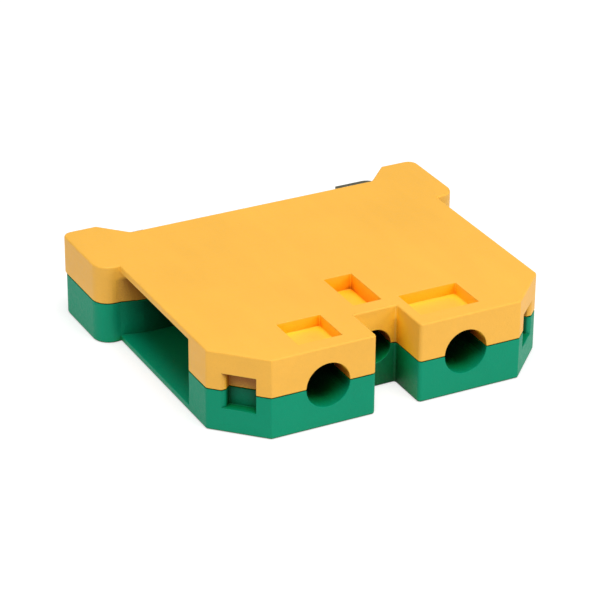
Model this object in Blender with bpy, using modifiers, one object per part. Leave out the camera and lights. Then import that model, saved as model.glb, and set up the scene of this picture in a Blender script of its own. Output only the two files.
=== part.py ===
"""DIN rail earth terminal block, lying on its green flank.

Frame: +X across the rail from the left ear to the right one, +Y from the screw face to the
rail, +Z through the thickness, which runs along the rail in use. The origin is the centre of
the outline's box, on the lower flank. The shapes below are laid out with y = 0 at the screw
face, and one empty carries all of them to the origin.
"""

import math

import bmesh
import bpy
from mathutils import Matrix, Vector

MM = 0.001

# Housing outline
THICKNESS = 11.0 * MM
HEAD_HALF = 23.45 * MM
FRONT_HALF = 17.5 * MM
CHAMFER = HEAD_HALF - FRONT_HALF
NOTCH_HALF = 3.05 * MM
NOTCH_DEPTH = 6.1 * MM
EAR_FRONT = 31.5 * MM
EAR_FRONT_OUTER = 31.35 * MM
EAR_HALF = 26.45 * MM
EAR_REAR_RADIUS = {"green": 1.9 * MM, "yellow": 1.3 * MM}
DEPTH = 43.65 * MM
RAMP_TOP_HALF = 21.5 * MM
SEAT_HALF = 18.05 * MM
SEAT = 40.05 * MM

# Housing walls
AXIS_Z = 5.7 * MM
PARTING_GAP = 0.1 * MM
PLATE = 0.9 * MM
ROOF = THICKNESS - PLATE
EDGE_ROUND = 0.25 * MM
WALL = 1.2 * MM
SEAM_OVERLAP = 0.3 * MM
PAST = 1.5 * MM

# Clamps
CLAMP_X = 9.7 * MM
ACCESS_RADIUS = 3.0 * MM
ACCESS_END = 8.6 * MM
CHAMBER_HALF = 3.75 * MM
CHAMBER_END = 30.5 * MM
MOUTH_FRONT = 10.9 * MM
FUNNEL_FRONT = 18.7 * MM
FUNNEL_REAR = 30.7 * MM
FUNNEL_KINK = (20.5 * MM, 30.8 * MM)
POCKET_LOW = 3.25 * MM
POCKET_HIGH = 8.05 * MM
BAR_FRONT = 20.6 * MM
BAR_REAR = 22.6 * MM
BAR_HALF_LENGTH = 14.2 * MM
BAR_HALF_WIDTH = 2.6 * MM
BAR_MIDDLE_HALF_LENGTH = 5.3 * MM
YOKE_HALF_LENGTH = 3.5 * MM
YOKE_HALF_WIDTH = 4.0 * MM
YOKE_FRONT = 17.8 * MM
YOKE_NUT = 2.5 * MM
YOKE_WINDOW_END = 28.5 * MM
YOKE_REAR = 30.1 * MM
YOKE_WINDOW_HALF = 2.8 * MM
GROOVE_PITCH = 2.2 * MM
GROOVE_HALF = 0.25 * MM
GROOVE_DEPTH = 0.3 * MM

# Rail clamp
RAIL_ACCESS_RADIUS = 2.35 * MM
CORRIDOR_START = 16.9 * MM
CORRIDOR_HALF = 5.45 * MM
CORRIDOR_END = 38.6 * MM
FOOT_ROOM_FRONT = 31.6 * MM
FOOT_ROOM_HALF = 21.2 * MM
FOOT_HALF_WIDTH = 4.0 * MM
FOOT_STRIP = 1.4 * MM
WEB_Y = 23.4 * MM
WEB_END = 5.2 * MM
LEG_X = 4.6 * MM
FOOT_PLATE_Y = 37.7 * MM
ARM_X = 19.1 * MM
FIXED_HOOK_Y = 42.45 * MM
FIXED_HOOK_TIP = 13.95 * MM
CLAW_Y = 33.1 * MM
CLAW_SLANT = 2.0 * MM
CLAW_FORK_END = 2.6 * MM
CLAW_HOOK_Y = 41.8 * MM
CLAW_HOOK_TIP = 15.2 * MM
HOOK_OPENING = 13.4 * MM

RIVET_X = 4.3 * MM
RIVET_SPACING = 5.8 * MM
RIVET_RADIUS = 0.6 * MM

# Screws, washers and nut
THREAD_CLEARANCE = 0.1 * MM
CLAMP_SCREW_RADIUS = 2.4 * MM
CLAMP_HEAD_RADIUS = 3.4 * MM
CLAMP_HEAD_FRONT = 8.9 * MM
CLAMP_HEAD_REAR = 11.5 * MM
CLAMP_SLOT = (1.2 * MM, 1.3 * MM)
RAIL_SCREW_RADIUS = 1.95 * MM
RAIL_HEAD_RADIUS = 3.3 * MM
RAIL_HEAD_FRONT = 17.1 * MM
RAIL_HEAD_REAR = 19.0 * MM
RAIL_SCREW_TIP = 38.0 * MM
RAIL_SLOT = (1.0 * MM, 1.0 * MM)
SPRING_WASHER = (3.6 * MM, 19.1 * MM, 19.9 * MM)
FLAT_WASHER = (4.0 * MM, 20.0 * MM, 20.5 * MM)
NUT_HALF = 3.5 * MM
NUT_FRONT = 34.0 * MM
NUT_REAR = 36.2 * MM
ROUND_SEGMENTS = 48

# Blind recesses in the yellow flank: (x from, x to, y from, y to, floor z), and the pins that
# join the halves: (x, y, radius), one on each side
RECESSES = [
    (-12.8 * MM, -6.75 * MM, 2.15 * MM, 8.1 * MM, 9.35 * MM),
    (-1.87 * MM, 2.1 * MM, 8.35 * MM, 16.4 * MM, 8.72 * MM),
    (4.45 * MM, 12.75 * MM, 2.35 * MM, 8.2 * MM, 9.35 * MM),
]
PINS = [(4.2 * MM, 12.0 * MM, 0.8 * MM), (23.8 * MM, 37.8 * MM, 1.1 * MM)]

MODEL = bpy.data.collections.new("din_rail_terminal_block")
CUTTERS = bpy.data.collections.new("cutters")


def clear_scene():
    for obj in list(bpy.data.objects):
        bpy.data.objects.remove(obj, do_unlink=True)
    for collection in (MODEL, CUTTERS):
        bpy.context.scene.collection.children.link(collection)
    CUTTERS.hide_render = True


def add_root():
    """The empty that carries the layout, with y = 0 at the screw face, to the part's frame."""
    root = bpy.data.objects.new("terminal_root", None)
    root.location = (0, -DEPTH / 2, 0)
    MODEL.objects.link(root)
    return root


def material(name, colour, roughness, metallic=0.0):
    made = bpy.data.materials.new(name)
    made.use_nodes = True
    shader = made.node_tree.nodes["Principled BSDF"]
    shader.inputs["Base Color"].default_value = (*colour, 1.0)
    shader.inputs["Roughness"].default_value = roughness
    shader.inputs["Metallic"].default_value = metallic
    return made


# ---------------------------------------------------------------- shapes


def new_object(name, mesh, root, collection=None):
    obj = bpy.data.objects.new(name, mesh)
    (collection or MODEL).objects.link(obj)
    obj.parent = root
    if collection is CUTTERS:
        obj.hide_render = True
        obj.display_type = "WIRE"
    return obj


def mesh_from(bm, name):
    mesh = bpy.data.meshes.new(name)
    bmesh.ops.recalc_face_normals(bm, faces=bm.faces)
    bm.to_mesh(mesh)
    bm.free()
    return mesh


def box_mesh(name, first, second):
    """A box between two opposite corners."""
    low = [min(pair) for pair in zip(first, second)]
    high = [max(pair) for pair in zip(first, second)]
    size = [b - a for a, b in zip(low, high)]
    centre = [(a + b) / 2 for a, b in zip(low, high)]
    bm = bmesh.new()
    matrix = Matrix.Translation(centre) @ Matrix.Diagonal((*size, 1))
    bmesh.ops.create_cube(bm, size=1, matrix=matrix)
    return mesh_from(bm, name)


def bore_mesh(name, x, z, radius, y_low, y_high):
    """A cylinder along Y."""
    bm = bmesh.new()
    place = Matrix.Translation((x, (y_low + y_high) / 2, z))
    bmesh.ops.create_cone(
        bm,
        cap_ends=True,
        segments=ROUND_SEGMENTS,
        radius1=radius,
        radius2=radius,
        depth=y_high - y_low,
        matrix=place @ Matrix.Rotation(math.pi / 2, 4, "X"),
    )
    return mesh_from(bm, name)


def post_mesh(name, x, y, radius, z_low, z_high, tip_radius=None):
    """A cylinder or a taper along Z."""
    bm = bmesh.new()
    bmesh.ops.create_cone(
        bm,
        cap_ends=True,
        segments=ROUND_SEGMENTS // 2,
        radius1=radius,
        radius2=tip_radius or radius,
        depth=z_high - z_low,
        matrix=Matrix.Translation((x, y, (z_low + z_high) / 2)),
    )
    return mesh_from(bm, name)


def rounded_outline(corners, step=math.radians(15)):
    """The points of a closed outline whose corners (x, y, radius) are arcs."""
    points = []
    for index, (x, y, radius) in enumerate(corners):
        here = Vector((x, y))
        back = (Vector(corners[index - 1][:2]) - here).normalized()
        ahead = (Vector(corners[(index + 1) % len(corners)][:2]) - here).normalized()
        turn = math.pi - back.angle(ahead)
        if radius == 0 or turn < math.radians(1):
            points.append(here)
            continue
        reach = radius * math.tan(turn / 2)
        centre = here + (back + ahead).normalized() * radius / math.cos(turn / 2)
        start = here + back * reach - centre
        side = 1 if back.x * ahead.y - back.y * ahead.x < 0 else -1
        count = max(1, math.ceil(turn / step))
        for k in range(count + 1):
            points.append(centre + Matrix.Rotation(side * turn * k / count, 2) @ start)
    return points


def mirrored(corners):
    """Corners of the right half, front to rear, closed with their mirror image."""
    return corners + [(-x, y, radius) for x, y, radius in reversed(corners)]


def prism_mesh(name, points, z_low, z_high):
    """A flat outline in XY, from z_low to z_high: a filled 2D curve made a welded mesh."""
    curve = bpy.data.curves.new(name, "CURVE")
    curve.dimensions = "2D"
    curve.fill_mode = "BOTH"
    curve.extrude = (z_high - z_low) / 2
    spline = curve.splines.new("POLY")
    spline.points.add(len(points) - 1)
    for point, (x, y) in zip(spline.points, points):
        point.co = (x, y, 0, 1)
    spline.use_cyclic_u = True
    source = bpy.data.objects.new(name + "_curve", curve)
    source.location.z = (z_low + z_high) / 2
    MODEL.objects.link(source)
    bpy.context.view_layer.update()
    graph = bpy.context.evaluated_depsgraph_get()
    mesh = bpy.data.meshes.new_from_object(source.evaluated_get(graph))
    mesh.transform(source.matrix_world)
    bpy.data.objects.remove(source)
    bm = bmesh.new()
    bm.from_mesh(mesh)
    bmesh.ops.remove_doubles(bm, verts=bm.verts, dist=MM / 1000)
    bmesh.ops.dissolve_limit(bm, angle_limit=math.radians(1), verts=bm.verts, edges=bm.edges)
    bmesh.ops.recalc_face_normals(bm, faces=bm.faces)
    bm.to_mesh(mesh)
    bm.free()
    return mesh


def strip_corners(path, width, bend):
    """Outline corners of a bent strip that follows path, bend being its inner radius."""
    sides = ([], [])
    for index, (x, y) in enumerate(path):
        here = Vector((x, y))
        into = (here - Vector(path[index - 1])).normalized() if index else None
        out = (Vector(path[index + 1]) - here).normalized() if index < len(path) - 1 else None
        first, last = into or out, out or into
        normal = (Vector((-first.y, first.x)) + Vector((-last.y, last.x))).normalized()
        reach = width / 2 / normal.dot(Vector((-first.y, first.x)))
        turn = first.x * last.y - first.y * last.x
        for side, sign in zip(sides, (1, -1)):
            radius = 0 if abs(turn) < 1e-6 else bend + (width if turn * sign < 0 else 0)
            place = here + normal * reach * sign
            side.append((place.x, place.y, radius))
    return sides[0] + sides[1][::-1]


def cut(obj, mesh, root, operation="DIFFERENCE"):
    """Cuts mesh from obj, or joins it to it."""
    tool = new_object(obj.name + "_tool", mesh, root, CUTTERS)
    modifier = obj.modifiers.new(operation.title(), "BOOLEAN")
    modifier.operation = operation
    modifier.solver = "EXACT"
    modifier.object = tool


def smooth(obj):
    obj.data.shade_smooth()
    obj.data.set_sharp_from_angle(angle=math.radians(35))


def turned(name, root, profile, location):
    """A solid turned about the Y axis through location, from (radius, y) points in order of y."""
    mesh = bpy.data.meshes.new(name)
    points = [(radius, 0, -y) for radius, y in profile]
    edges = [(k, k + 1) for k in range(len(points) - 1)]
    mesh.from_pydata(points, edges, [])
    obj = new_object(name, mesh, root)
    obj.location = location
    obj.rotation_euler.x = math.pi / 2
    screw = obj.modifiers.new("Turn", "SCREW")
    screw.axis = "Z"
    screw.steps = screw.render_steps = ROUND_SEGMENTS
    screw.use_merge_vertices = True
    screw.merge_threshold = MM / 100
    screw.use_smooth_shade = True
    return obj


def set_origin(obj, point):
    """Moves the object's origin to point without moving its mesh."""
    obj.data.transform(Matrix.Translation(-Vector(point)))
    obj.location = point


# ---------------------------------------------------------------- housing


def housing_outline(colour):
    """A half's outline seen from above. The two halves differ only at the ears' rear corners."""
    return rounded_outline(
        mirrored(
            [
                (NOTCH_HALF, NOTCH_DEPTH, 0.3 * MM),
                (NOTCH_HALF, 0, 0.5 * MM),
                (FRONT_HALF, 0, 0.3 * MM),
                (HEAD_HALF, CHAMFER, 0.6 * MM),
                (HEAD_HALF, EAR_FRONT, 0),
                (EAR_HALF, EAR_FRONT_OUTER, 2.3 * MM),
                (EAR_HALF, DEPTH, EAR_REAR_RADIUS[colour]),
                (RAMP_TOP_HALF, DEPTH, 0.4 * MM),
                (SEAT_HALF, SEAT, 1.0 * MM),
            ]
        )
    )


def weight_flank_edges(mesh, flank_z):
    """Marks the outline's edges on the flank for the Bevel modifier."""
    bm = bmesh.new()
    bm.from_mesh(mesh)
    weight = bm.edges.layers.float.new("bevel_weight_edge")
    for edge in bm.edges:
        if all(abs(v.co.z - flank_z) < MM / 100 for v in edge.verts):
            edge[weight] = 1.0
    bm.to_mesh(mesh)
    bm.free()


def housing_half(colour, root, z_low, z_high, flank_z, finish):
    """One half's outer block, with its flank's edge rounded, before anything is cut."""
    name = "housing_" + colour + "_half"
    mesh = prism_mesh(name, housing_outline(colour), z_low, z_high)
    weight_flank_edges(mesh, flank_z)
    half = new_object(name, mesh, root)
    half.data.materials.append(finish)
    bevel = half.modifiers.new("Round flank", "BEVEL")
    bevel.limit_method = "WEIGHT"
    bevel.width = EDGE_ROUND
    bevel.segments = 2
    return half


def mouth_outline(side):
    """The wire funnel on one side, from the housing's side face to the clamp chamber.

    Its rear wall starts a hair short of the ear's inner corner, so that no faces coincide.
    """
    inner = CLAMP_X + CHAMBER_HALF - 0.15 * MM
    hair = 0.03 * MM
    corners = [
        (inner, FUNNEL_FRONT),
        (HEAD_HALF, MOUTH_FRONT),
        (HEAD_HALF + PAST, MOUTH_FRONT),
        (HEAD_HALF + PAST, EAR_FRONT - 0.5 * MM),
        (HEAD_HALF - hair, EAR_FRONT - hair),
        FUNNEL_KINK,
        (inner, FUNNEL_REAR),
    ]
    return [(side * x, y) for x, y in corners]


def head_core_outline(side):
    """The hollow in the head's corner, behind the marker pocket."""
    inner = CLAMP_X + CHAMBER_HALF + WALL
    outer = HEAD_HALF - WALL
    slant = FRONT_HALF - 3.5 * MM
    corners = [
        (inner, WALL),
        (slant + WALL, WALL),
        (outer, outer - slant),
        (outer, MOUTH_FRONT - 0.7 * MM),
        (inner, FUNNEL_FRONT - 2.5 * MM),
    ]
    return [(side * x, y) for x, y in corners]


def foot_room_outline(side):
    """The room for the rail feet on one side, with the 45 degree wall the claw slides along."""
    slope = 4.1 * MM
    corners = [
        (CORRIDOR_HALF - 0.2 * MM, FOOT_ROOM_FRONT),
        (FOOT_ROOM_HALF - slope, FOOT_ROOM_FRONT),
        (FOOT_ROOM_HALF, FOOT_ROOM_FRONT + slope),
        (FOOT_ROOM_HALF, CORRIDOR_END),
        (CORRIDOR_HALF - 0.2 * MM, CORRIDOR_END),
    ]
    return [(side * x, y) for x, y in corners]


def marker_pocket_outline(side):
    """The marker pocket in the chamfer: straight walls, with a lead-in on the rear one."""
    near, far, depth = 2.0 * MM, 5.95 * MM, 1.5 * MM
    lead = 0.5 * MM
    laid = [
        (near, -PAST),
        (near, depth),
        (far, depth),
        (far, lead),
        (far + lead, 0),
        (far + lead, -PAST),
    ]
    half_root = math.sqrt(0.5)
    return [
        (side * (FRONT_HALF + (along - inward) * half_root), (along + inward) * half_root)
        for along, inward in laid
    ]


def cut_housing(half, root, z_low, z_high):
    """Cuts the rooms that both halves share. Each half closes them at its own plate."""
    for side in (-1, 1):
        for outline in (mouth_outline, head_core_outline, foot_room_outline):
            cut(half, prism_mesh("room", outline(side), z_low, z_high), root)
        chamber = box_mesh(
            "chamber",
            (side * (CLAMP_X - CHAMBER_HALF), ACCESS_END, z_low),
            (side * (CLAMP_X + CHAMBER_HALF), CHAMBER_END, z_high),
        )
        cut(half, chamber, root)
        opening = box_mesh(
            "hook_opening",
            (side * HOOK_OPENING, CORRIDOR_END - SEAM_OVERLAP, z_low),
            (side * FOOT_ROOM_HALF, DEPTH + PAST, z_high),
        )
        cut(half, opening, root)
        end = ACCESS_END + SEAM_OVERLAP
        access = bore_mesh("access", side * CLAMP_X, AXIS_Z, ACCESS_RADIUS, -PAST, end)
        cut(half, access, root)
        pocket = prism_mesh("pocket", marker_pocket_outline(side), POCKET_LOW, POCKET_HIGH)
        cut(half, pocket, root)
    corridor = box_mesh(
        "corridor",
        (-CORRIDOR_HALF, CORRIDOR_START, z_low),
        (CORRIDOR_HALF, CORRIDOR_END, z_high),
    )
    cut(half, corridor, root)
    end = CORRIDOR_START + SEAM_OVERLAP
    rail_access = bore_mesh(
        "rail_access", 0, AXIS_Z, RAIL_ACCESS_RADIUS, NOTCH_DEPTH - PAST, end
    )
    cut(half, rail_access, root)
    gap = 0.2 * MM
    slot = box_mesh(
        "bar_slot",
        (-BAR_HALF_LENGTH - gap, BAR_FRONT - gap, AXIS_Z - BAR_HALF_WIDTH - gap),
        (BAR_HALF_LENGTH + gap, BAR_REAR + gap, AXIS_Z + BAR_HALF_WIDTH + gap),
    )
    cut(half, slot, root)


def pin_places():
    """Where the green half's four pins enter the yellow half: (x, y, radius)."""
    return [(side * x, y, radius) for x, y, radius in PINS for side in (-1, 1)]


def add_green_half(root, finish):
    top = AXIS_Z - PARTING_GAP / 2
    half = housing_half("green", root, 0, top, 0, finish)
    cut_housing(half, root, PLATE, top + PAST)
    for x, y, radius in pin_places():
        pin = post_mesh("pin", x, y, radius, top - PAST, AXIS_Z + 2.6 * MM, 0.8 * radius)
        cut(half, pin, root, "UNION")


def add_yellow_half(root, finish):
    bottom = AXIS_Z + PARTING_GAP / 2
    half = housing_half("yellow", root, bottom, THICKNESS, THICKNESS, finish)
    cut_housing(half, root, bottom - PAST, ROOF)
    for x, y, radius in pin_places():
        socket = post_mesh("socket", x, y, radius + 0.2 * MM, bottom - PAST, AXIS_Z + 2.9 * MM)
        cut(half, socket, root)
    for x_low, x_high, y_low, y_high, floor in RECESSES:
        recess = box_mesh("recess", (x_low, y_low, floor), (x_high, y_high, THICKNESS + PAST))
        cut(half, recess, root)


# ---------------------------------------------------------------- metalwork


def add_current_bar(root, finish):
    """The bar that both yokes hang on, wider in the middle where the rail foot joins it."""
    bar = new_object(
        "current_bar",
        box_mesh(
            "current_bar",
            (-BAR_HALF_LENGTH, BAR_FRONT, AXIS_Z - BAR_HALF_WIDTH),
            (BAR_HALF_LENGTH, BAR_REAR, AXIS_Z + BAR_HALF_WIDTH),
        ),
        root,
    )
    bar.data.materials.append(finish)
    middle = box_mesh(
        "middle",
        (-BAR_MIDDLE_HALF_LENGTH, BAR_FRONT, AXIS_Z - FOOT_HALF_WIDTH),
        (BAR_MIDDLE_HALF_LENGTH, BAR_REAR, AXIS_Z + FOOT_HALF_WIDTH),
    )
    cut(bar, middle, root, "UNION")
    cut_centre_holes(bar, root)


def rivet_places():
    """Each rivet's name and the z of its axis."""
    return [("lower", AXIS_Z - RIVET_SPACING / 2), ("upper", AXIS_Z + RIVET_SPACING / 2)]


def cut_centre_holes(obj, root):
    """The rail screw's clearance hole and the two rivet holes, through the bar or the foot."""
    low, high = BAR_FRONT - PAST, WEB_Y + FOOT_STRIP / 2 + PAST
    cut(obj, bore_mesh("screw_hole", 0, AXIS_Z, RAIL_SCREW_RADIUS + 0.25 * MM, low, high), root)
    for _, z in rivet_places():
        hole = bore_mesh("rivet_hole", -RIVET_X, z, RIVET_RADIUS + 0.08 * MM, low, high)
        cut(obj, hole, root)


def add_rivets(root, finish):
    """Two rivets that hold the fixed foot to the bar."""
    bar_face = BAR_FRONT - 0.05 * MM
    web_face = WEB_Y + FOOT_STRIP / 2 + 0.05 * MM
    head, tall = 0.9 * MM, 0.55 * MM
    for name, z in rivet_places():
        profile = [
            (0, bar_face - tall),
            (0.6 * head, bar_face - tall),
            (head, bar_face - 0.4 * tall),
            (head, bar_face),
            (RIVET_RADIUS, bar_face),
            (RIVET_RADIUS, web_face),
            (head, web_face),
            (head, web_face + 0.4 * tall),
            (0.6 * head, web_face + tall),
            (0, web_face + tall),
        ]
        rivet = turned("foot_rivet_" + name, root, profile, (-RIVET_X, 0, z))
        rivet.data.materials.append(finish)


def add_yoke(name, root, side, finish):
    """The closed clamping yoke: a threaded end, two side walls and a ribbed pressing end."""
    x = side * CLAMP_X
    yoke = new_object(
        name,
        box_mesh(
            name,
            (x - YOKE_HALF_LENGTH, YOKE_FRONT, AXIS_Z - YOKE_HALF_WIDTH),
            (x + YOKE_HALF_LENGTH, YOKE_REAR, AXIS_Z + YOKE_HALF_WIDTH),
        ),
        root,
    )
    yoke.data.materials.append(finish)
    bevel = yoke.modifiers.new("Round edges", "BEVEL")
    bevel.width = 0.35 * MM
    bevel.segments = 2
    window = box_mesh(
        "window",
        (x - YOKE_HALF_LENGTH - PAST, YOKE_FRONT + YOKE_NUT, AXIS_Z - YOKE_WINDOW_HALF),
        (x + YOKE_HALF_LENGTH + PAST, YOKE_WINDOW_END, AXIS_Z + YOKE_WINDOW_HALF),
    )
    cut(yoke, window, root)
    hole = bore_mesh(
        "thread",
        x,
        AXIS_Z,
        CLAMP_SCREW_RADIUS + THREAD_CLEARANCE,
        YOKE_FRONT - PAST,
        YOKE_FRONT + YOKE_NUT + 0.4 * MM,
    )
    cut(yoke, hole, root)
    for place in (x - GROOVE_PITCH, x, x + GROOVE_PITCH):
        low = (place - GROOVE_HALF, YOKE_WINDOW_END - PAST, AXIS_Z - YOKE_WINDOW_HALF)
        high = (place + GROOVE_HALF, YOKE_WINDOW_END + GROOVE_DEPTH, AXIS_Z + YOKE_WINDOW_HALF)
        cut(yoke, box_mesh("groove", low, high), root)
    set_origin(yoke, (x, YOKE_FRONT, AXIS_Z))


def screw_profile(radius, head_radius, head_low, head_high, tip):
    """(radius, y) points of a slotted cheese-head screw from its head's face to its tip."""
    ease = 0.3 * MM
    return [
        (0, head_low),
        (head_radius - ease, head_low),
        (head_radius, head_low + ease),
        (head_radius, head_high),
        (radius, head_high),
        (radius, tip - 2 * ease),
        (radius - 2 * ease, tip),
        (0, tip),
    ]


def add_screw(name, root, x, profile, slot, finish):
    """A turned screw whose slot is (width, depth)."""
    screw = turned(name, root, profile, (x, 0, AXIS_Z))
    screw.data.materials.append(finish)
    face = profile[0][1]
    reach = profile[2][0] + PAST
    cutter = box_mesh(
        "slot",
        (x - reach, face - PAST, AXIS_Z - slot[0] / 2),
        (x + reach, face + slot[1], AXIS_Z + slot[0] / 2),
    )
    cut(screw, cutter, root)


def add_clamps(root, steel, zinc):
    tip = BAR_FRONT - 0.15 * MM
    profile = screw_profile(
        CLAMP_SCREW_RADIUS, CLAMP_HEAD_RADIUS, CLAMP_HEAD_FRONT, CLAMP_HEAD_REAR, tip
    )
    for name, side in (("left", -1), ("right", 1)):
        add_yoke(name + "_clamp_yoke", root, side, steel)
        add_screw(name + "_clamp_screw", root, side * CLAMP_X, profile, CLAMP_SLOT, zinc)


def add_washer(name, root, size, zinc):
    """A flat ring round the rail screw, size being (outer radius, y from, y to)."""
    outer, y_low, y_high = size
    washer = new_object(name, bore_mesh(name, 0, AXIS_Z, outer, y_low, y_high), root)
    washer.data.materials.append(zinc)
    smooth(washer)
    inner = RAIL_SCREW_RADIUS + 0.15 * MM
    cut(washer, bore_mesh("bore", 0, AXIS_Z, inner, y_low - PAST, y_high + PAST), root)
    return washer


def add_nut(root, zinc):
    """The square nut that the rail screw turns in."""
    low = (-NUT_HALF, NUT_FRONT, AXIS_Z - NUT_HALF)
    high = (NUT_HALF, NUT_REAR, AXIS_Z + NUT_HALF)
    nut = new_object("rail_clamp_nut", box_mesh("rail_clamp_nut", low, high), root)
    nut.data.materials.append(zinc)
    bevel = nut.modifiers.new("Round edges", "BEVEL")
    bevel.width = 0.25 * MM
    bevel.segments = 1
    bore = RAIL_SCREW_RADIUS + THREAD_CLEARANCE
    cut(nut, bore_mesh("thread", 0, AXIS_Z, bore, NUT_FRONT - PAST, NUT_REAR + PAST), root)
    set_origin(nut, (0, NUT_FRONT, AXIS_Z))


def add_rail_screw(root, zinc):
    """The rail clamp screw with its washers and its square nut."""
    profile = screw_profile(
        RAIL_SCREW_RADIUS, RAIL_HEAD_RADIUS, RAIL_HEAD_FRONT, RAIL_HEAD_REAR, RAIL_SCREW_TIP
    )
    add_screw("rail_clamp_screw", root, 0, profile, RAIL_SLOT, zinc)
    spring = add_washer("rail_screw_spring_washer", root, SPRING_WASHER, zinc)
    cut(spring, split_mesh(*SPRING_WASHER), root)
    add_washer("rail_screw_flat_washer", root, FLAT_WASHER, zinc)
    add_nut(root, zinc)


def split_mesh(outer, y_low, y_high):
    """The slanted saw cut that opens the spring washer's ring."""
    half = (y_high - y_low) / 2 + PAST
    mesh = box_mesh("split", (-0.3 * MM, -half, 0), (0.3 * MM, half, outer + PAST))
    slant = Matrix.Rotation(math.radians(25), 4, "Z")
    mesh.transform(Matrix.Translation((0, (y_low + y_high) / 2, AXIS_Z)) @ slant)
    return mesh


def foot_strip_mesh(name, path):
    corners = strip_corners(path, FOOT_STRIP, 0.3 * MM)
    outline = rounded_outline(corners)
    return prism_mesh(name, outline, AXIS_Z - FOOT_HALF_WIDTH, AXIS_Z + FOOT_HALF_WIDTH)


def add_fixed_foot(root, finish):
    """The strip riveted to the bar that runs down to the rail and hooks its right flange."""
    path = [
        (-WEB_END, WEB_Y),
        (LEG_X, WEB_Y),
        (LEG_X, FOOT_PLATE_Y),
        (ARM_X, FOOT_PLATE_Y),
        (ARM_X, FIXED_HOOK_Y),
        (FIXED_HOOK_TIP, FIXED_HOOK_Y),
    ]
    foot = new_object("fixed_rail_foot", foot_strip_mesh("fixed_rail_foot", path), root)
    foot.data.materials.append(finish)
    cut_centre_holes(foot, root)


def add_movable_foot(root, finish):
    """The claw that the nut pulls: forked round the screw, with a 45 degree bend that slides."""
    path = [
        (CLAW_FORK_END, CLAW_Y),
        (-ARM_X + CLAW_SLANT, CLAW_Y),
        (-ARM_X, CLAW_Y + CLAW_SLANT),
        (-ARM_X, CLAW_HOOK_Y),
        (-CLAW_HOOK_TIP, CLAW_HOOK_Y),
    ]
    claw = new_object("movable_rail_foot", foot_strip_mesh("movable_rail_foot", path), root)
    claw.data.materials.append(finish)
    half = RAIL_SCREW_RADIUS + 0.2 * MM
    low, high = CLAW_Y - PAST, CLAW_Y + PAST
    end = -0.8 * MM
    cut(claw, bore_mesh("fork_end", end, AXIS_Z, half, low, high), root)
    fork = box_mesh(
        "fork", (end, low, AXIS_Z - half), (CLAW_FORK_END + PAST, high, AXIS_Z + half)
    )
    cut(claw, fork, root)
    set_origin(claw, (0, CLAW_Y, AXIS_Z))


def main():
    clear_scene()
    root = add_root()
    yellow = material("yellow_moulding", (0.83, 0.39, 0.06), 0.42)
    green = material("green_moulding", (0.01, 0.27, 0.15), 0.42)
    brass = material("tinned_brass", (0.72, 0.66, 0.50), 0.32, 1.0)
    steel = material("plated_steel", (0.62, 0.63, 0.64), 0.35, 1.0)
    zinc = material("bright_zinc", (0.74, 0.75, 0.77), 0.28, 1.0)
    add_green_half(root, green)
    add_yellow_half(root, yellow)
    add_current_bar(root, brass)
    add_rivets(root, brass)
    add_clamps(root, steel, zinc)
    add_rail_screw(root, zinc)
    add_fixed_foot(root, brass)
    add_movable_foot(root, steel)


main()
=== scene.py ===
import math

import bmesh
import bpy
from mathutils import Matrix, Vector


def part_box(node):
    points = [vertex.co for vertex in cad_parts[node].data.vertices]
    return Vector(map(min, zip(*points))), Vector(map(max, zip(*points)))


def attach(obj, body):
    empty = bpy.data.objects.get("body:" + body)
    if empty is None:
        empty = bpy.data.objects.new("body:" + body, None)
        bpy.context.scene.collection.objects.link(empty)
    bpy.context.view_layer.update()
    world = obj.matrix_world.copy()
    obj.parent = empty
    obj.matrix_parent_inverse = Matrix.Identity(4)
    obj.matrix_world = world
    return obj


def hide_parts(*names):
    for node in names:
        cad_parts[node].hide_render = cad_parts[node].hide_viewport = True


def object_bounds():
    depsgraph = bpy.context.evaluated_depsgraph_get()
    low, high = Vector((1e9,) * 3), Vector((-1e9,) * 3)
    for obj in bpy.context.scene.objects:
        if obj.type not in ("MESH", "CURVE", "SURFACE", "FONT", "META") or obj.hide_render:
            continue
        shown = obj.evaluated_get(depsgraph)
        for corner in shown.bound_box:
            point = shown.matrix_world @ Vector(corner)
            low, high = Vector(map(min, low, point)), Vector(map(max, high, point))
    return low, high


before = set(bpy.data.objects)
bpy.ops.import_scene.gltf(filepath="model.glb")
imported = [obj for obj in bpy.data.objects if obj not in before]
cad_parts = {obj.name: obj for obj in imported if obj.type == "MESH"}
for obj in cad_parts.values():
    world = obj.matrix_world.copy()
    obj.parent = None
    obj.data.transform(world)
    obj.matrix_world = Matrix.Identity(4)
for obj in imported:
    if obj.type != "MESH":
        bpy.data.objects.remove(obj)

CAD_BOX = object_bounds()
MM = 0.001

# Camera: where it looks from, and how far its aim is from the middle of the block's underside
VIEW_AZIMUTH = math.radians(-27.51)
VIEW_ELEVATION = math.radians(27.19)
VIEW_ROLL = math.radians(0.48)
VIEW_DISTANCE = 364.7 * MM
VIEW_OFFSET = Vector((2.72, 9.78, 0)) * MM
LENS = 163.3

# Softboxes: (name, place in metres, width, height, watts), all aimed at the origin
SOFTBOXES = [
    ("overhead_softbox", (-0.03, -0.12, 0.55), 0.36, 0.36, 2.7),
    ("front_softbox", (0.50, -0.62, 0.32), 0.26, 0.20, 1.3),
]
ROOM_LIGHT = 0.38

# The table: how much light it sends back, and how much it gives off itself
FLOOR_COLOUR = (0.50, 0.50, 0.50, 1)
FLOOR_GLOW = 0.57
FLOOR_SIZE = 3.0
FLOOR_GAP = 0.02 * MM

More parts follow.
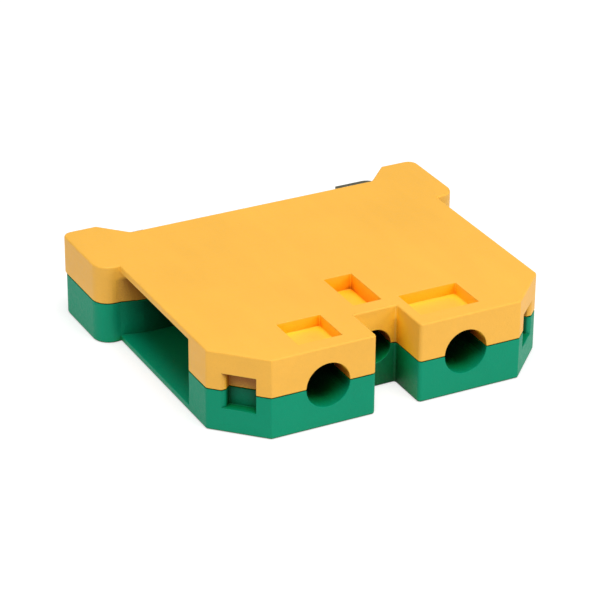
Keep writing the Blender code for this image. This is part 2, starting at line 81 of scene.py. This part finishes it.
# Finishes, as linear colours. A moulding's paler colour is that of its painted edge highlights; a
# metal's second one is that of its brighter clouds and, brighter still, of its painted edge highlights
WHITE = (1, 1, 1, 1)
YELLOW = (0.89, 0.460, 0.057)
YELLOW_EDGE_HIGHLIGHT = (0.98, 0.68, 0.28)
YELLOW_GLOSS = 0.30
GREEN = (0.0, 0.280, 0.150)
GREEN_EDGE_HIGHLIGHT = (0.06, 0.48, 0.31)
GREEN_GLOSS = 0.12
TIN = (0.26, 0.255, 0.17)
TIN_BRIGHT = (0.30, 0.29, 0.20)
STEEL = (0.56, 0.56, 0.57)
STEEL_BRIGHT = (0.59, 0.59, 0.58)
ZINC = (0.70, 0.71, 0.74)
ZINC_BRIGHT = (0.75, 0.77, 0.80)

# Painted shade in a moulding's hollows, and on the yellow a painted bounce light that brightens and
# deepens its recess walls: how its colour is tinted as its surface is closed in, as (openness, tint)
# pairs
YELLOW_PAINTED_RECESS_SHADE_AND_BOUNCE = [
    (0.05, (0.02, 0.01, 0.0)),
    (0.12, (0.40, 0.20, 0.02)),
    (0.22, (1.30, 0.72, 0.02)),
    (0.40, (1.32, 1.45, 0.15)),
    (0.62, (1.12, 1.16, 1.0)),
    (0.90, (1.0, 1.0, 1.0)),
]
GREEN_PAINTED_RECESS_SHADE = [
    (0.05, (1.0, 0.02, 0.01)),
    (0.15, (1.0, 0.20, 0.08)),
    (0.24, (1.0, 0.95, 0.42)),
    (0.34, (1.0, 1.0, 0.58)),
    (0.52, (1.0, 1.0, 1.0)),
]

# The tint of painted shade on an upright wall under a roof, that nothing lights from above
YELLOW_PAINTED_ROOF_SHADE = (0.25, 0.15, 0.03)
GREEN_PAINTED_ROOF_SHADE = (1.0, 0.08, 0.04)

# The painted shade tint of a surface right beside an inner corner
YELLOW_PAINTED_CREASE_SHADE = (0.95, 0.80, 0.45)
GREEN_PAINTED_CREASE_SHADE = (1.0, 0.45, 0.40)

# How far around a point the hollows for the painted shade, the roofs and the creases are looked for
PAINTED_SHADE_REACH = 8 * MM
ROOF_REACH = 15 * MM
CREASE_REACH = 0.45 * MM

# Sizes of the marks on a moulding's surface, and how wide its painted edge highlights are
MOULDING_CLOUDS = 14 * MM
MOULDING_FLOW = 2.2 * MM
MOULDING_MOTTLE = 0.55 * MM
MOULDING_GRAIN = 0.20 * MM
MOULDING_HIGHLIGHT_EDGE = 0.13 * MM

# Sizes of the marks on plated metal
METAL_LINES = 0.09 * MM
METAL_CLOUDS = 1.6 * MM
METAL_PITS = 0.25 * MM
# How wide the metal's painted edge highlights are
METAL_HIGHLIGHT_EDGE = 0.2 * MM

# Walls above this level, about that of the flank's wide recesses' floors, are taken to have no roof and
# get no painted roof shade
RECESS_FLOOR = 9.4 * MM

# The ears' inner corners, from above, where each wire mouth's rear wall starts
EAR_CORNER = (23.45 * MM, 9.675 * MM)

# Small roundings that the frame's solids leave to this script, and the gap between points that
# is closed before an edge is rounded
HOUSING_EDGE = 0.11 * MM
METAL_EDGE = 0.14 * MM
WELD = 0.02 * MM

# The angle between two faces that counts as flat, the one whose edge is rounded, and those
# that stay sharp in the shading
FLAT = math.radians(1)
ROUNDED = math.radians(50)
COPY_SHARP = math.radians(60)
SCREW_SHARP = math.radians(38)

# Screws: (node, body, the head's share of the length, thread radius, pitch, slot width)
SCREWS = [
    ("left_clamp_screw", "left_screw", 0.226, 2.4 * MM, 0.8 * MM, 1.2 * MM),
    ("right_clamp_screw", "right_screw", 0.226, 2.4 * MM, 0.8 * MM, 1.2 * MM),
    ("rail_clamp_screw", "rail_screw", 0.091, 1.95 * MM, 0.7 * MM, 1.0 * MM),
]
SCREW_EASE = 0.28 * MM

# The steps that draw a thread, the thread's depth as a share of its pitch, and the shares of
# the pitch that its crest and root take up
ROUND_STEPS = 48
STEPS_A_PITCH = 8
THREAD_DEPTH = 0.54
CREST = 1 / 8
ROOT = 1 / 4


# ---------------------------------------------------------------- stage


def add_camera():
    """The camera, set back from its aim along the view's direction and rolled a little."""
    low, high = CAD_BOX
    aim = Vector(((low.x + high.x) / 2, (low.y + high.y) / 2, low.z)) + VIEW_OFFSET
    across = math.cos(VIEW_ELEVATION)
    back = Vector(
        (
            math.sin(VIEW_AZIMUTH) * across,
            -math.cos(VIEW_AZIMUTH) * across,
            math.sin(VIEW_ELEVATION),
        )
    )
    data = bpy.data.cameras.new("camera")
    data.lens = LENS
    data.clip_start = 10 * MM
    data.clip_end = 10.0
    camera = bpy.data.objects.new("camera", data)
    bpy.context.scene.collection.objects.link(camera)
    turn = back.to_track_quat("Z", "Y").to_matrix() @ Matrix.Rotation(VIEW_ROLL, 3, "Z")
    camera.matrix_world = Matrix.Translation(aim + back * VIEW_DISTANCE) @ turn.to_4x4()
    bpy.context.scene.camera = camera


def add_softbox(name, place, width, height, watts):
    data = bpy.data.lights.new(name, "AREA")
    data.shape = "RECTANGLE"
    data.size = width
    data.size_y = height
    data.energy = watts
    light = bpy.data.objects.new(name, data)
    bpy.context.scene.collection.objects.link(light)
    light.location = place
    light.rotation_euler = Vector(place).to_track_quat("Z", "Y").to_euler()


def add_lights():
    """A bright room, with a large softbox overhead and a smaller, weaker one in front."""
    world = bpy.data.worlds.new("studio")
    world.use_nodes = True
    background = world.node_tree.nodes["Background"]
    background.inputs["Color"].default_value = (1.0, 1.0, 1.0, 1.0)
    background.inputs["Strength"].default_value = ROOM_LIGHT
    bpy.context.scene.world = world
    for softbox in SOFTBOXES:
        add_softbox(*softbox)


def add_floor():
    """A plain white table, lit a little from below, so that shadows on it stay faint."""
    mesh = bpy.data.meshes.new("floor")
    bm = bmesh.new()
    bmesh.ops.create_grid(bm, x_segments=1, y_segments=1, size=FLOOR_SIZE)
    bm.to_mesh(mesh)
    bm.free()
    floor = bpy.data.objects.new("floor", mesh)
    floor.location.z = CAD_BOX[0].z - FLOOR_GAP
    bpy.context.scene.collection.objects.link(floor)
    finish = bpy.data.materials.new("pale_floor")
    finish.use_nodes = True
    shader = finish.node_tree.nodes["Principled BSDF"]
    shader.inputs["Base Color"].default_value = FLOOR_COLOUR
    shader.inputs["Roughness"].default_value = 0.9
    shader.inputs["Specular IOR Level"].default_value = 0.1
    shader.inputs["Emission Color"].default_value = (1, 1, 1, 1)
    shader.inputs["Emission Strength"].default_value = FLOOR_GLOW
    mesh.materials.append(finish)


# ---------------------------------------------------------------- materials


class Graph:
    """A material's node tree, with short ways to add nodes and join them."""

    def __init__(self, name):
        self.material = bpy.data.materials.new(name)
        self.material.use_nodes = True
        self.tree = self.material.node_tree
        self.shader = self.tree.nodes["Principled BSDF"]
        self.place = self.add("ShaderNodeTexCoord").outputs["Object"]

    def add(self, kind, values=None, **settings):
        """Adds a node. values gives its inputs, each a number, a colour or another node's output."""
        made = self.tree.nodes.new(kind)
        for name, value in settings.items():
            setattr(made, name, value)
        for name, value in (values or {}).items():
            self.join(value, made.inputs[name])
        return made

    def join(self, value, socket):
        if isinstance(value, bpy.types.NodeSocket):
            self.tree.links.new(value, socket)
        else:
            socket.default_value = value

    def noise(self, size, detail=3.0, roughness=0.55, stretch=(1, 1, 1)):
        """Noise with features of the given size, in metres, drawn out along an axis by stretch."""
        scale = [1 / factor for factor in stretch]
        placed = self.add("ShaderNodeMapping", {"Vector": self.place, "Scale": scale})
        values = {
            "Vector": placed.outputs["Vector"],
            "Scale": 1 / size,
            "Detail": detail,
            "Roughness": roughness,
        }
        return self.add("ShaderNodeTexNoise", values).outputs["Fac"]

    def spread(self, value, low, high, to_low=0.0, to_high=1.0):
        values = {
            "Value": value,
            "From Min": low,
            "From Max": high,
            "To Min": to_low,
            "To Max": to_high,
        }
        return self.add("ShaderNodeMapRange", values).outputs["Result"]

    def math(self, operation, first, second):
        made = self.add("ShaderNodeMath", operation=operation)
        self.join(first, made.inputs[0])
        self.join(second, made.inputs[1])
        return made.outputs["Value"]

    def mix(self, share, first, second):
        made = self.add("ShaderNodeMix", data_type="RGBA")
        self.join(share, made.inputs["Factor"])
        self.join(first, made.inputs["A"])
        self.join(second, made.inputs["B"])
        return made.outputs["Result"]

    def edges(self, radius):
        """1 along outer edges: where a rounded normal leans from the true one, outside corners."""
        rounded = self.add("ShaderNodeBevel", {"Radius": radius}, samples=6)
        true = self.add("ShaderNodeNewGeometry").outputs["Normal"]
        lean = self.add("ShaderNodeVectorMath", operation="DOT_PRODUCT")
        self.join(rounded.outputs["Normal"], lean.inputs[0])
        self.join(true, lean.inputs[1])
        leaning = self.spread(lean.outputs["Value"], 0.97, 0.82)
        return self.math("MULTIPLY", leaning, self.spread(self.openness(2 * radius), 0.75, 0.92))

    def openness(self, reach):
        """1 on open surfaces, 0 where all around within reach is closed in."""
        return self.add("ShaderNodeAmbientOcclusion", {"Distance": reach}, samples=8).outputs["AO"]

    def painted_roof_shade_share(self, reach):
        """Where painted roof shade goes: 1 on upright walls under a roof, 0 on walls open above and on
        level surfaces.
        """
        up = self.add("ShaderNodeCombineXYZ", {"Z": 1.0}).outputs["Vector"]
        sky = self.add("ShaderNodeAmbientOcclusion", {"Distance": reach, "Normal": up}, samples=12)
        facing = self.add("ShaderNodeNewGeometry").outputs["True Normal"]
        height = self.add("ShaderNodeSeparateXYZ", {"Vector": facing}).outputs["Z"]
        upright = self.spread(self.math("ABSOLUTE", height, 0), 0.7, 0.3)
        level = self.add("ShaderNodeSeparateXYZ", {"Vector": self.place}).outputs["Z"]
        below = self.math("MULTIPLY", upright, self.spread(level, RECESS_FLOOR, RECESS_FLOOR - MM / 2))
        return self.math("MULTIPLY", below, self.spread(sky.outputs["AO"], 0.33, 0.12))

    def ramp(self, value, stops):
        made = self.add("ShaderNodeValToRGB", {"Fac": value})
        elements = made.color_ramp.elements
        for index, (position, colour) in enumerate(stops):
            element = elements[index] if index < 2 else elements.new(position)
            element.position = position
            element.color = (*colour, 1)
        return made.outputs["Color"]

    def tint(self, first, second):
        made = self.add("ShaderNodeMix", data_type="RGBA", blend_type="MULTIPLY")
        made.inputs["Factor"].default_value = 1
        self.join(first, made.inputs["A"])
        self.join(second, made.inputs["B"])
        return made.outputs["Result"]

    def bump(self, layers):
        """Bumps from (height, depth) layers, the depth in metres."""
        normal = None
        for height, depth in layers:
            values = {"Height": height, "Distance": depth, "Strength": 1.0}
            if normal is not None:
                values["Normal"] = normal
            normal = self.add("ShaderNodeBump", values).outputs["Normal"]
        self.join(normal, self.shader.inputs["Normal"])

    def finish(self, **values):
        """Joins values to the shader's inputs, whose names have spaces for underscores."""
        for name, value in values.items():
            self.join(value, self.shader.inputs[name.replace("_", " ")])
        return self.material


def shade(colour, factor):
    return (*(min(1.0, channel * factor) for channel in colour), 1.0)


def moulded_plastic(name, colour, painted_recess_tints, painted_roof_shade, painted_crease_shade, edge_highlight_colour, gloss):
    """Satin moulded plastic: a spark-eroded grain and faint flow marks, with paler edges that are a
    painted highlight, and painted shade in its hollows, under roofs and in inner corners, with some
    painted bounce light in recesses.
    """
    graph = Graph(name)
    clouds = graph.noise(MOULDING_CLOUDS, detail=2)
    flow = graph.noise(MOULDING_FLOW, detail=4, stretch=(1, 5, 1))
    mottle = graph.noise(MOULDING_MOTTLE, detail=4)
    grain = graph.noise(MOULDING_GRAIN, detail=2, roughness=0.7)
    blend = graph.math("ADD", graph.math("MULTIPLY", clouds, 0.5), graph.math("MULTIPLY", flow, 0.3))
    blend = graph.math("ADD", blend, graph.math("MULTIPLY", mottle, 0.2))
    body = graph.mix(graph.spread(blend, 0.35, 0.65), shade(colour, 0.95), shade(colour, 1.04))
    specks = graph.spread(grain, 0.58, 0.80, 0.0, 0.25)
    body = graph.mix(specks, body, shade(colour, 0.7))
    # Paler outer edges: a painted highlight, patchy with the mottle
    painted_edge_highlight = graph.math("MULTIPLY", graph.edges(MOULDING_HIGHLIGHT_EDGE), graph.spread(mottle, 0.35, 0.6, 0.5, 0.9))
    body = graph.mix(painted_edge_highlight, body, (*edge_highlight_colour, 1))
    # Painted shade in hollows, with painted bounce light on the yellow's recess walls, by how closed in
    # the surface is
    body = graph.tint(body, graph.ramp(graph.openness(PAINTED_SHADE_REACH), painted_recess_tints))
    # Painted shade on upright walls under a roof, where the lamps above don't reach
    body = graph.tint(body, graph.mix(graph.painted_roof_shade_share(ROOF_REACH), WHITE, (*painted_roof_shade, 1)))
    # Painted shade in the inner corners
    crease_shade_share = graph.spread(graph.openness(CREASE_REACH), 0.80, 0.25)
    body = graph.tint(body, graph.mix(crease_shade_share, WHITE, (*painted_crease_shade, 1)))
    graph.bump([(flow, 0.012 * MM), (mottle, 0.014 * MM), (grain, 0.035 * MM)])
    return graph.finish(
        Base_Color=body,
        Roughness=graph.spread(mottle, 0.3, 0.7, 0.42, 0.56),
        Specular_IOR_Level=gloss,
    )


def plated_metal(name, colour, bright, roughness, grain_axis):
    """Plated metal: fine drawn lines along one axis, a cloudy plating, brighter edges that are a painted
    highlight, and painted shade in its hollows.
    """
    graph = Graph(name)
    stretch = [1, 1, 1]
    stretch[grain_axis] = 14
    lines = graph.noise(METAL_LINES, detail=3, stretch=stretch)
    clouds = graph.noise(METAL_CLOUDS, detail=4)
    pits = graph.noise(METAL_PITS, detail=2)
    body = graph.mix(graph.spread(clouds, 0.35, 0.65), shade(colour, 0.88), shade(bright, 1.0))
    body = graph.mix(graph.spread(lines, 0.4, 0.62, 0.0, 0.18), body, shade(colour, 0.72))
    # Brighter outer edges: a painted highlight
    painted_edge_highlight = graph.math("MULTIPLY", graph.edges(METAL_HIGHLIGHT_EDGE), 0.55)
    body = graph.mix(painted_edge_highlight, body, shade(bright, 1.25))
    # Darker in hollows: painted shade, by how closed in the surface is
    lit = graph.spread(graph.openness(PAINTED_SHADE_REACH), 0.1, 0.5)
    body = graph.mix(lit, shade(colour, 0.2), body)
    graph.bump([(lines, 0.006 * MM), (pits, 0.006 * MM)])
    return graph.finish(
        Base_Color=body,
        Metallic=1.0,
        Roughness=graph.spread(clouds, 0.3, 0.7, roughness - 0.06, roughness + 0.08),
    )


# ---------------------------------------------------------------- new pieces


def new_piece(name, mesh, body, finish, node):
    """An object on a body that stands for a frame node."""
    piece = bpy.data.objects.new(name, mesh)
    bpy.context.scene.collection.objects.link(piece)
    mesh.materials.clear()
    mesh.materials.append(finish)
    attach(piece, body)
    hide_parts(node)
    return piece


def close_ear_corners(bm):
    """Gathers the points a hair away from the ears' inner corners onto them."""
    corner_x, corner_y = EAR_CORNER
    for vert in bm.verts:
        x = math.copysign(corner_x, vert.co.x)
        if math.hypot(vert.co.x - x, vert.co.y - corner_y) < 4 * WELD:
            vert.co.x, vert.co.y = x, corner_y


def add_rounded_copy(node, body, finish, width):
    """A frame node's shape with its triangles joined into flat faces and its edges rounded."""
    bm = bmesh.new()
    bm.from_mesh(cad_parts[node].data)
    if body == "housing":
        close_ear_corners(bm)
    bmesh.ops.remove_doubles(bm, verts=bm.verts, dist=WELD)
    bmesh.ops.dissolve_degenerate(bm, dist=WELD / 2, edges=bm.edges)
    bmesh.ops.dissolve_limit(bm, angle_limit=FLAT, verts=bm.verts, edges=bm.edges)
    hard = [edge for edge in bm.edges if edge.is_manifold and edge.calc_face_angle() > ROUNDED]
    bmesh.ops.bevel(
        bm,
        geom=hard,
        offset=width,
        offset_type="OFFSET",
        segments=2,
        profile=0.5,
        affect="EDGES",
        clamp_overlap=False,
    )
    mesh = bpy.data.meshes.new(node + "_rounded")
    bm.to_mesh(mesh)
    bm.free()
    mesh.shade_smooth()
    mesh.set_sharp_from_angle(angle=COPY_SHARP)
    piece = new_piece(node + "_rounded", mesh, body, finish, node)
    normals = piece.modifiers.new("Flat faces", "WEIGHTED_NORMAL")
    normals.keep_sharp = True


def box_mesh(name, low, high):
    """A box between its low and high corners."""
    low, high = Vector(low), Vector(high)
    bm = bmesh.new()
    size = Matrix.Diagonal((*(high - low), 1))
    bmesh.ops.create_cube(bm, size=1, matrix=Matrix.Translation((low + high) / 2) @ size)
    mesh = bpy.data.meshes.new(name)
    bm.to_mesh(mesh)
    bm.free()
    return mesh


def carved(mesh, cutter):
    """The mesh with the cutter taken out of it."""
    source = bpy.data.objects.new("source", mesh)
    tool = bpy.data.objects.new("tool", cutter)
    for spare in (source, tool):
        bpy.context.scene.collection.objects.link(spare)
    modifier = source.modifiers.new("Cut", "BOOLEAN")
    modifier.operation = "DIFFERENCE"
    modifier.solver = "EXACT"
    modifier.object = tool
    graph = bpy.context.evaluated_depsgraph_get()
    graph.update()
    made = bpy.data.meshes.new_from_object(source.evaluated_get(graph))
    made.name = mesh.name
    for spare in (source, tool):
        bpy.data.objects.remove(spare)
    return made


def thread_dip(phase):
    """How deep a thread is at a phase of its pitch: 0 on the crest, 1 in the root."""
    away = abs((phase + 0.5) % 1 - 0.5)
    slope = 0.5 - CREST / 2 - ROOT / 2
    return min(1.0, max(0.0, (away - CREST / 2) / slope))


def screw_mesh(name, centre, stations, pitch):
    """A solid turned about an axis along Y, from (y, radius, thread depth) stations."""
    bm = bmesh.new()
    rings = []
    for y, radius, depth in stations:
        ring = []
        for step in range(ROUND_STEPS):
            turn = step / ROUND_STEPS
            reach = radius - depth * thread_dip(y / pitch - turn)
            angle = turn * math.tau
            place = (centre.x + reach * math.sin(angle), y, centre.z + reach * math.cos(angle))
            ring.append(bm.verts.new(place))
        rings.append(ring)
    for first, second in zip(rings, rings[1:]):
        for step in range(ROUND_STEPS):
            ahead = (step + 1) % ROUND_STEPS
            bm.faces.new((first[step], first[ahead], second[ahead], second[step]))
    bm.faces.new(rings[0])
    bm.faces.new(rings[-1])
    bmesh.ops.recalc_face_normals(bm, faces=bm.faces)
    mesh = bpy.data.meshes.new(name)
    bm.to_mesh(mesh)
    bm.free()
    return mesh


def screw_stations(front, head_rear, tip, head_radius, radius, pitch):
    """Stations from the slotted head's face to the pointed tip, with the thread between."""
    ease = SCREW_EASE
    depth = THREAD_DEPTH * pitch
    stations = [
        (front, head_radius - 1.6 * ease, 0),
        (front + 0.15 * ease, head_radius - 0.8 * ease, 0),
        (front + 0.5 * ease, head_radius - 0.25 * ease, 0),
        (front + ease, head_radius, 0),
        (head_rear - 0.4 * ease, head_radius, 0),
        (head_rear, head_radius - 0.4 * ease, 0),
        (head_rear, radius, 0),
        (head_rear + pitch, radius, 0),
    ]
    y = head_rear + 1.3 * pitch
    step = pitch / STEPS_A_PITCH
    run_out = 1.2 * pitch
    while y < tip - ease:
        fade = min(1.0, (y - head_rear - pitch) / run_out)
        taper = max(0.0, y - (tip - 2.2 * ease)) * 0.7
        stations.append((y, radius - taper, depth * fade))
        y += step
    stations.append((tip, radius - 2.2 * ease, 0))
    return stations


def add_threaded_screw(node, body, head_share, radius, pitch, slot_width, finish):
    """A slotted screw with a real thread in place of a plain one."""
    low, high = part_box(node)
    centre = (low + high) / 2
    head_rear = low.y + head_share * (high.y - low.y)
    head_radius = (high.x - low.x) / 2
    stations = screw_stations(low.y, head_rear, high.y, head_radius, radius, pitch)
    mesh = screw_mesh(node + "_threaded", centre, stations, pitch)
    reach = head_radius + MM
    slot_floor = low.y + 0.5 * (head_rear - low.y)
    slot = box_mesh(
        "slot",
        (centre.x - reach, low.y - MM, centre.z - slot_width / 2),
        (centre.x + reach, slot_floor, centre.z + slot_width / 2),
    )
    mesh = carved(mesh, slot)
    mesh.shade_smooth()
    mesh.set_sharp_from_angle(angle=SCREW_SHARP)
    new_piece(node + "_threaded", mesh, body, finish, node)


# ---------------------------------------------------------------- the block


def dress_housing():
    yellow = moulded_plastic(
        "yellow_moulding",
        YELLOW,
        YELLOW_PAINTED_RECESS_SHADE_AND_BOUNCE,
        YELLOW_PAINTED_ROOF_SHADE,
        YELLOW_PAINTED_CREASE_SHADE,
        YELLOW_EDGE_HIGHLIGHT,
        YELLOW_GLOSS,
    )
    green = moulded_plastic(
        "green_moulding",
        GREEN,
        GREEN_PAINTED_RECESS_SHADE,
        GREEN_PAINTED_ROOF_SHADE,
        GREEN_PAINTED_CREASE_SHADE,
        GREEN_EDGE_HIGHLIGHT,
        GREEN_GLOSS,
    )
    for side, finish in (("yellow", yellow), ("green", green)):
        node = "housing_" + side + "_half"
        add_rounded_copy(node, "housing", finish, HOUSING_EDGE)


def dress_metalwork():
    tin = plated_metal("tinned_brass", TIN, TIN_BRIGHT, 0.36, 0)
    steel = plated_metal("plated_steel", STEEL, STEEL_BRIGHT, 0.32, 1)
    zinc = plated_metal("bright_zinc", ZINC, ZINC_BRIGHT, 0.24, 0)
    rounded = [
        ("current_bar", "housing", tin, "tinned_brass", METAL_EDGE),
        ("fixed_rail_foot", "housing", tin, "tinned_brass", METAL_EDGE),
        ("left_clamp_yoke", "left_yoke", steel, "plated_steel", METAL_EDGE),
        ("right_clamp_yoke", "right_yoke", steel, "plated_steel", METAL_EDGE),
        ("movable_rail_foot", "rail_claw", steel, "plated_steel", METAL_EDGE),
        ("rail_clamp_nut", "rail_nut", zinc, "bright_zinc", METAL_EDGE),
        ("rail_screw_spring_washer", "housing", zinc, "bright_zinc", METAL_EDGE / 2),
        ("rail_screw_flat_washer", "housing", zinc, "bright_zinc", METAL_EDGE / 2),
    ]
    for node, body, finish, slot, width in rounded:
        add_rounded_copy(node, body, finish, width)
    for node in ("foot_rivet_lower", "foot_rivet_upper"):
        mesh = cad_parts[node].data
        mesh.materials.clear()
        mesh.materials.append(tin)
    for screw in SCREWS:
        add_threaded_screw(*screw, zinc)


def main():
    bpy.context.scene.view_settings.view_transform = "Standard"
    add_camera()
    add_lights()
    add_floor()
    dress_housing()
    dress_metalwork()


main()
